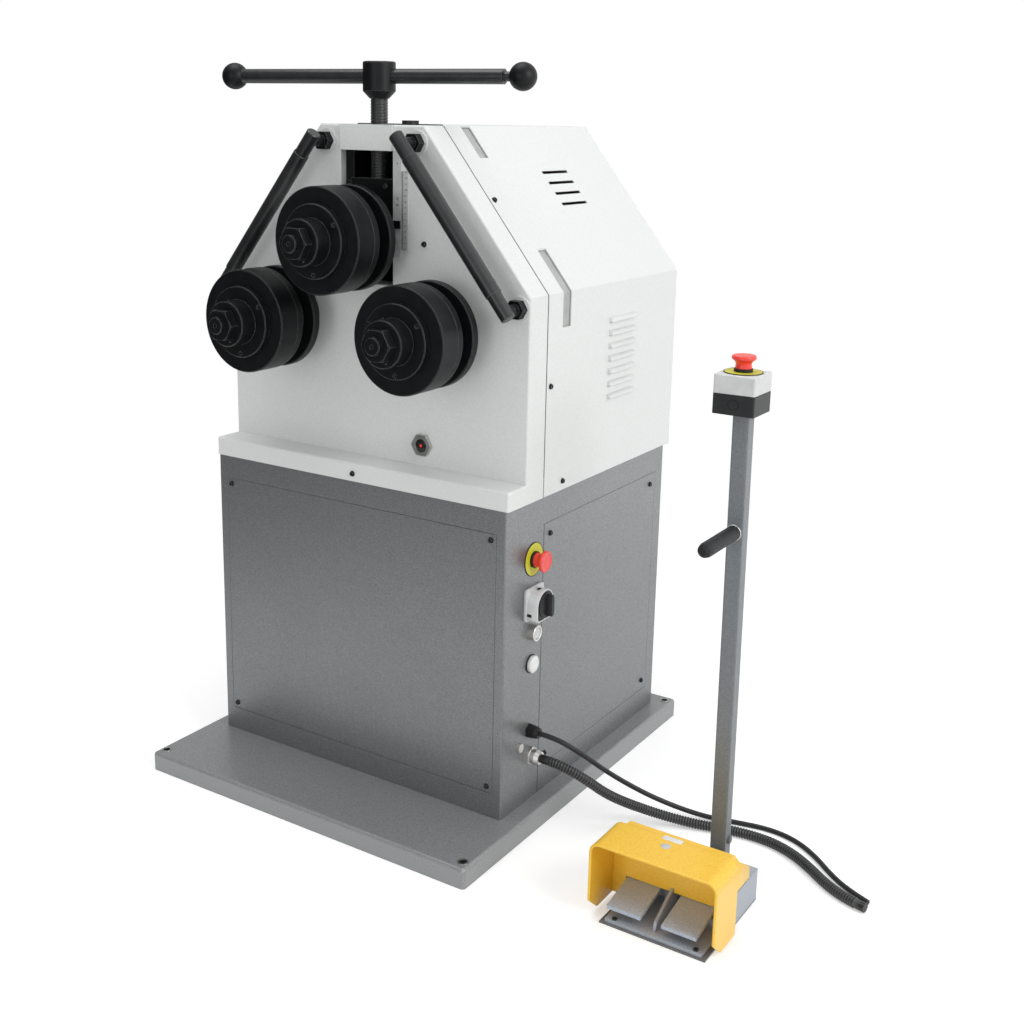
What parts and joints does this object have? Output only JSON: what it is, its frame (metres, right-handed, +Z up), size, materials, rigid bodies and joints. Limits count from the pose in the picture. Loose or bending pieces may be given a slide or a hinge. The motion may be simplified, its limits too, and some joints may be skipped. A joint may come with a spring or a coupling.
{
  "type": "ring roller",
  "caption": "Floor-standing motorised section bender: driven and pressed rollers on a slanted housing over a cabinet, with a T-handle and a separate foot station.",
  "frame": {"origin": "centre of the base pan on the floor", "axes": "+Z up, +Y towards the back, so the rollers face -Y; +X to the side with the controls and the foot station"},
  "size_m": [1.2839, 0.8, 1.319],
  "materials": {
    "cabinet_grey": "semi-gloss speckled paint",
    "housing_white": "satin paint",
    "black_steel": "black oxide",
    "bright_steel": "ground",
    "cast_frame": "machined",
    "bronze": "turned",
    "zinc": "zinc plated",
    "scale_metal": "satin",
    "black_plastic": "matt",
    "red_plastic": "gloss",
    "light_plastic": "matt",
    "lamp_white": "gloss",
    "nickel": "nickel plated",
    "cable_black": "matt",
    "hose_black": "ribbed",
    "guard_yellow": "satin",
    "switch_aluminium": "cast",
    "plate_grey": "painted",
    "black_rubber": "matt"
  },
  "bodies": {
    "machine": {"base_pan": "cabinet_grey", "anchor_sleeves": "zinc", "cabinet_shell": "cabinet_grey", "front_panel": "cabinet_grey", "side_panel": "cabinet_grey", "front_casting": "housing_white", "bridge_block": "housing_white", "spindle_nut": "bronze", "gib_strip": "black_steel", "inner_frame": "cast_frame", "rear_cover": "housing_white", "shaft_bearings": "bronze", "gearmotor": "cast_frame", "guide_bars": "black_steel", "guide_posts": "black_steel", "depth_scale": "scale_metal", "oil_fittings": "nickel", "panel_screws": "black_steel", "control_collars": "black_plastic", "switch_body": "light_plastic", "pilot_lamp": "lamp_white", "lead_glands": "nickel", "control_cable": "cable_black", "conduit_hose": "hose_black", "foot_plate": "plate_grey", "foot_casting": "switch_aluminium", "pedal_pins": "zinc", "foot_guard": "guard_yellow", "mast": "cabinet_grey", "grip": "black_rubber", "button_box": "light_plastic"},
    "carriage": {"carriage": "black_steel"},
    "spindle": {"spindle": "black_steel", "handle_hub": "black_steel", "handle_bar": "black_steel", "handle_balls": "black_plastic"},
    "top_roller": {"top_shaft": "black_steel", "top_front_ring": "black_steel", "top_grooved_ring": "black_steel", "top_clamp_hub": "black_steel", "top_nut": "black_steel"},
    "left_roller": {"left_shaft": "black_steel", "left_front_ring": "black_steel", "left_grooved_ring": "black_steel", "left_clamp_hub": "black_steel", "left_nut": "black_steel", "left_gear": "bright_steel"},
    "right_roller": {"right_shaft": "black_steel", "right_front_ring": "black_steel", "right_grooved_ring": "black_steel", "right_clamp_hub": "black_steel", "right_nut": "black_steel", "right_gear": "bright_steel"},
    "pinion": {"drive_pinion": "bright_steel"},
    "stop_button": {"stop_button": "red_plastic"},
    "station_button": {"station_button": "red_plastic"},
    "switch_knob": {"switch_knob": "black_plastic"},
    "start_button": {"start_button": "light_plastic"},
    "left_pedal": {"left_pedal": "switch_aluminium"},
    "right_pedal": {"right_pedal": "switch_aluminium"}
  },
  "joints": [
    {"name": "carriage_slide", "type": "slide", "parent": "machine", "child": "carriage", "axis": [0, 0, 1], "range_m": [-0.041, 0.045]},
    {"name": "spindle_spin", "type": "hinge", "parent": "carriage", "child": "spindle", "pos_m": [0, -0.154, 1.2], "axis": [0, 0, 1], "range_deg": [-2960, 3250]},
    {"name": "top_roller_spin", "type": "hinge", "parent": "carriage", "child": "top_roller", "pos_m": [0, -0.3, 1.026], "axis": [0, 1, 0], "continuous": true},
    {"name": "right_roller_spin", "type": "hinge", "parent": "machine", "child": "right_roller", "pos_m": [0.168, -0.3, 0.877], "axis": [0, 1, 0], "continuous": true},
    {"name": "left_roller_spin", "type": "hinge", "parent": "machine", "child": "left_roller", "pos_m": [-0.168, -0.3, 0.877], "axis": [0, 1, 0], "continuous": true},
    {"name": "pinion_spin", "type": "hinge", "parent": "machine", "child": "pinion", "pos_m": [0, 0, 0.877], "axis": [0, 1, 0], "continuous": true},
    {"name": "stop_press", "type": "slide", "parent": "machine", "child": "stop_button", "axis": [1, 0, 0], "range_m": [-0.004, 0], "stiffness_N_per_m": 800, "springref_m": 0.006},
    {"name": "station_stop_press", "type": "slide", "parent": "machine", "child": "station_button", "axis": [0, 0, 1], "range_m": [-0.004, 0], "stiffness_N_per_m": 800, "springref_m": 0.006},
    {"name": "switch_turn", "type": "hinge", "parent": "machine", "child": "switch_knob", "pos_m": [0.349, -0.143, 0.413], "axis": [1, 0, 0], "range_deg": [0, 90]},
    {"name": "start_press", "type": "slide", "parent": "machine", "child": "start_button", "axis": [1, 0, 0], "range_m": [-0.003, 0], "stiffness_N_per_m": 400, "springref_m": 0.005},
    {"name": "left_pedal_press", "type": "hinge", "parent": "machine", "child": "left_pedal", "pos_m": [0.62, -0.25, 0.042], "axis": [1, 0, 0], "range_deg": [0, 7], "stiffness_Nm_per_rad": 10, "springref_deg": -5.73},
    {"name": "right_pedal_press", "type": "hinge", "parent": "machine", "child": "right_pedal", "pos_m": [0.715, -0.25, 0.042], "axis": [1, 0, 0], "range_deg": [0, 7], "stiffness_Nm_per_rad": 10, "springref_deg": -5.73}
  ],
  "couplings": [
    {"joint": "spindle_spin", "follows": "carriage_slide", "rad_per_m": 1256.6},
    {"joint": "left_roller_spin", "follows": "right_roller_spin", "ratio": 1},
    {"joint": "pinion_spin", "follows": "right_roller_spin", "ratio": -2.5}
  ]
}
